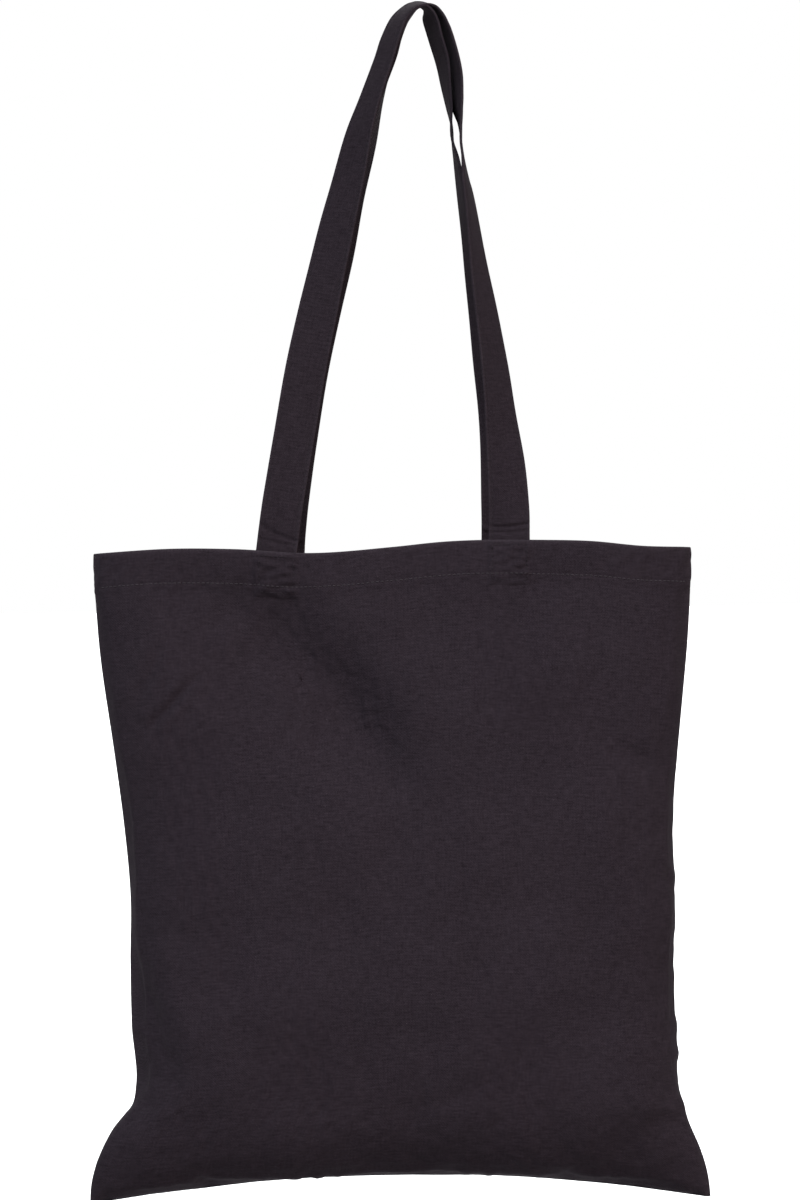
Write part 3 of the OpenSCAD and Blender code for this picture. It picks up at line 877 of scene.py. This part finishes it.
def make_stage():
    """A pale floor that reaches past every view, a pale surround and the soft lights."""
    reach = 300
    mesh = bpy.data.meshes.new("studio_floor")
    mesh.from_pydata([(-reach, -reach, FLOOR_Z), (reach, -reach, FLOOR_Z), (reach, reach, FLOOR_Z),
                      (-reach, reach, FLOOR_Z)], [], [(0, 1, 2, 3)])
    mesh.materials.append(pale_floor())
    floor = placed("studio_floor", mesh)
    floor.visible_diffuse = False          # it throws no light up under the bag
    world = bpy.data.worlds.new("surround")
    s = Shader(world)
    up = s.node("SeparateXYZ", {0: s.node("TexCoord").outputs["Generated"]}).outputs[2]
    ramp = s.node("ValToRGB", {0: s.ramp(up, -1, 1)})
    elements = ramp.color_ramp.elements
    while len(elements) < len(SURROUND):
        elements.new(0.5)
    for element, (place, value) in zip(elements, SURROUND):
        element.position, element.color = place, (value, value, value, 1)
    s.node("OutputWorld", {0: s.node("Background", {0: ramp.outputs[0]}).outputs[0]})
    bpy.context.scene.world = world
    for name, strength, spread, direction, color in LIGHTS:
        data = bpy.data.lights.new(name, "SUN")
        data.energy, data.angle = strength, math.radians(spread)
        data.color = color
        turn = Vector(direction).to_track_quat("-Z", "Y")
        placed(name, data).rotation_euler = turn.to_euler()
    bpy.context.scene.view_settings.view_transform = "Standard"


# ---- the object ----

make_camera()
make_stage()

CANVAS_DARK, CANVAS_LIGHT = (0.0070, 0.0051, 0.0069, 1), (0.0228, 0.0176, 0.0227, 1)
STRAP_DARK, STRAP_LIGHT = (0.0070, 0.0051, 0.0069, 1), (0.0218, 0.0168, 0.0215, 1)
FLECK = (0.072, 0.060, 0.071, 1)
cloth_material = canvas("charcoal_canvas", CANVAS_DARK, CANVAS_LIGHT, FLECK)
strap_material = canvas("charcoal_strap_canvas", STRAP_DARK, STRAP_LIGHT, FLECK, pitch=0.7)
thread_material = thread("charcoal_thread", (0.011, 0.0088, 0.011, 1), (0.031, 0.0255, 0.031, 1),
                         0.1)
strap_thread_material = thread("charcoal_strap_thread", (0.007, 0.0055, 0.007, 1),
                               (0.024, 0.019, 0.024, 1), 0.04)

front_grid, back_grid = hung_panels()
front_legs, back_legs = (-FRONT_LEG, FRONT_LEG), (-BACK_LEG, BACK_LEG)
front_panel, front_surface = make_panel("front_panel_cloth", front_grid, back_grid, FRONT,
                                        front_legs, cloth_material, 5)
back_panel, back_surface = make_panel("back_panel_cloth", back_grid, front_grid, BACK,
                                      back_legs, cloth_material, 15)

# Creases just above the rim: (end, place above the rim, slant, depth, half width).
FRONT_DIPS = [(-1, 9.5, -0.3, 1.5, 1.2), (-1, 5, -0.1, 0.8, 1.2), (1, 8.5, 0.1, 1.3, 1.2),
              (1, 4.6, 0.05, 0.8, 1.2)]
BACK_DIPS = [(-1, 7, 0.2, 1.2, 1.3), (1, 9, -0.15, 1.2, 1.3)]
front_strap_shape = Strap(FRONT_ROUTE, FRONT_LEG, front_surface, FRONT_DIPS)
back_strap_shape = Strap(BACK_ROUTE, BACK_LEG, back_surface, BACK_DIPS)
front_strap = make_strap("front_strap", front_strap_shape, strap_material)
back_strap = make_strap("back_strap", back_strap_shape, strap_material)
front_strap_thread = make_strap_thread("front_strap_thread", front_strap_shape, strap_thread_material)
back_strap_thread = make_strap_thread("back_strap_thread", back_strap_shape, strap_thread_material)


def hem_thread(name, surface):
    """The hem's stitching, outside and inside."""
    x = np.linspace(-0.178, 0.178, 240)
    build = Build()
    points, normals = on_panel(surface, "outer", x, HEM_STITCH)
    stitches(build, points, normals, pitch=0.0029, width=0.0007, height=0.00045)
    points, normals = on_panel(surface, "grid", x, HEM_STITCH)
    stitches(build, points + normals*(HEM_FACE - 0.00004), -normals, pitch=0.0029)
    return build.piece(name, thread_material)


def box_thread(name, surface, leg):
    """The rectangle of stitching that holds one strap end, seen from the outside."""
    build = Build()
    half = BOX_HALF_WIDTH
    corners = [(-half, BOX_TOP), (half, BOX_TOP), (half, BOX_BOTTOM), (-half, BOX_BOTTOM),
               (-half, BOX_TOP)]
    for (x0, d0), (x1, d1) in zip(corners, corners[1:]):
        t = np.linspace(0.02, 0.98, 24)
        points, normals = on_panel(surface, "outer", leg + x0 + (x1 - x0)*t, d0 + (d1 - d0)*t)
        stitches(build, points, normals, pitch=0.0026, width=0.0006, height=0.0004)
    return build.piece(name, strap_thread_material)


front_hem_thread = hem_thread("front_hem_thread", front_surface)
back_hem_thread = hem_thread("back_hem_thread", back_surface)
box_threads = {}
for word, surface, legs in (("front", front_surface, front_legs), ("back", back_surface, back_legs)):
    for hand, leg in zip(("left", "right"), legs):
        box_threads[word, hand] = box_thread(f"{word}_{hand}_box_thread", surface, leg)


ALLOWANCE_PLACES = np.linspace(0.0004, ALLOWANCE, 6)         # from the seam to the raw edge


def make_allowance(name, seam, inward, seed, material):
    """Two cloth edges sewn together, standing inwards from a seam, with a wavy raw edge."""
    length = distances(seam)
    lean = (0.9*MM*waves(length, 0*length, seed, 0.05)[:, None]
            *ease(length/0.02)[:, None]*ease((length[-1] - length)/0.02)[:, None]
            *np.linspace(0, 1, 6)[None, :]**1.5)
    middle = seam[:, None] + inward[:, None]*ALLOWANCE_PLACES[None, :, None]
    middle[..., 1] += lean
    low, high = (middle + np.array([0, side*CLOTH*0.9, 0]) for side in (-1, 1))
    points, faces = rolled(low, high)
    across = np.linspace(0, ALLOWANCE, 6)
    flat = np.stack(np.broadcast_arrays(across[None, :], length[:, None]), axis=-1)
    wear = np.broadcast_to(np.exp((across - ALLOWANCE)/0.001)[None, :], flat.shape[:2])
    build = Build()
    build.add(points, faces, np.concatenate([flat, flat[::-1]]), np.concatenate([wear, wear[::-1]]))
    piece = build.piece(name, material)
    turn_outwards(piece)
    return piece, (low, high, length)


def make_overlock(name, strip, material):
    """Overlock thread: loops over the raw edge from a needle line a few millimetres in."""
    low, high, length = strip
    period, bite = 0.0026, 0.0048
    turns = int((length[-1] - 0.004)//period)
    # One loop: how far through it, how far in from the raw edge, and the face of the cloth.
    loop = [(0.0, 1, -1), (0.25, 0.15, -1), (0.35, -0.06, 0), (0.45, 0.15, 1), (0.62, 1, 1),
            (0.80, 0.15, 1), (0.88, -0.06, 0), (0.94, 0.15, -1)]
    rows, bites, faces = np.array([(0.002 + (turn + share)*period, reach*bite, face)
                                   for turn in range(turns) for share, reach, face in loop]).T
    j = np.interp(rows, length, np.arange(len(length)))
    i = np.interp(ALLOWANCE - bites, ALLOWANCE_PLACES, np.arange(6))

    def at(grid):
        j0, i0 = np.minimum(j.astype(int), len(length) - 2), np.minimum(i.astype(int), 4)
        tj, ti = (j - j0)[:, None], (i - i0)[:, None]
        return ((grid[j0, i0]*(1 - ti) + grid[j0, i0 + 1]*ti)*(1 - tj)
                + (grid[j0 + 1, i0]*(1 - ti) + grid[j0 + 1, i0 + 1]*ti)*tj)

    a, b = at(low), at(high)
    inward = unit(low[:, -1] - low[:, -2])[np.minimum(j.astype(int), len(length) - 1)]
    points = (a + b)/2 + (b - a)/2*faces[:, None]
    points[:, 1] += faces*0.00016
    points += inward*np.maximum(0, -bites)[:, None]
    build = Build()
    cord(build, points, 0.00017)
    needle = float(np.interp(ALLOWANCE - bite, ALLOWANCE_PLACES, np.arange(6)))
    k, t = int(needle), needle % 1
    for grid, face in ((low, -1), (high, 1)):
        line = grid[2:-2, k]*(1 - t) + grid[2:-2, k + 1]*t
        stitches(build, line, np.tile([0.0, face, 0.0], (len(line), 1)), pitch=period)
    return build.piece(name, material)


def seam_strips():
    """The seam lines inside the bag and the direction that their allowances stand in."""
    middle = (front_grid + back_grid)/2
    strips = {}
    for name, column, near in (("left_side", 0, 2), ("right_side", -1, -3)):
        keep = (DROPS > HEM_DEPTH + 0.0015) & (DROPS < FLAT_HEIGHT - 0.012)
        inward = unit(middle[keep, near] - middle[keep, column])
        strips[name] = middle[keep, column] + inward*0.0003, inward
    keep = slice(2, -2)
    inward = unit(middle[3, keep] - middle[0, keep])
    strips["bottom"] = middle[0, keep] + inward*0.0003, inward
    return strips


allowances, overlocks = {}, {}
for number, (word, (seam, inward)) in enumerate(seam_strips().items()):
    allowances[word], strip = make_allowance(f"{word}_allowance", seam, inward, 61 + number,
                                             cloth_material)
    overlocks[word] = make_overlock(f"{word}_overlock_thread", strip, thread_material)

# ---- what each piece rides on and which model parts it replaces ----

for piece, node in ((front_panel, "front_panel"), (back_panel, "back_panel"),
                    (allowances["left_side"], "left_side_seam"),
                    (allowances["right_side"], "right_side_seam"),
                    (allowances["bottom"], "bottom_seam")):
    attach(piece, "bag")
    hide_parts(node)

bag_threads = [(front_hem_thread, "front_hem_stitching"), (back_hem_thread, "back_hem_stitching"),
               (overlocks["left_side"], "left_overlock"),
               (overlocks["right_side"], "right_overlock"),
               (overlocks["bottom"], "bottom_overlock")]
bag_threads += [(piece, f"{word}_{hand}_box_stitching") for (word, hand), piece in box_threads.items()]
for piece, node in bag_threads:
    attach(piece, "bag")
    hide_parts(node)

# Each strap's sewn ends lie behind the hem; the strap and its stitching are baked in place and attached
# to no body, and the model's handle parts are hidden.
for word, strap, strap_thread, side in (("front", front_strap, front_strap_thread, FRONT),
                                        ("back", back_strap, back_strap_thread, BACK)):
    for piece in (strap, strap_thread):
        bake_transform(piece)
    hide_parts(f"{word}_handle", f"{word}_handle_left_end", f"{word}_handle_right_end")
    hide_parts(f"{word}_handle_stitching")
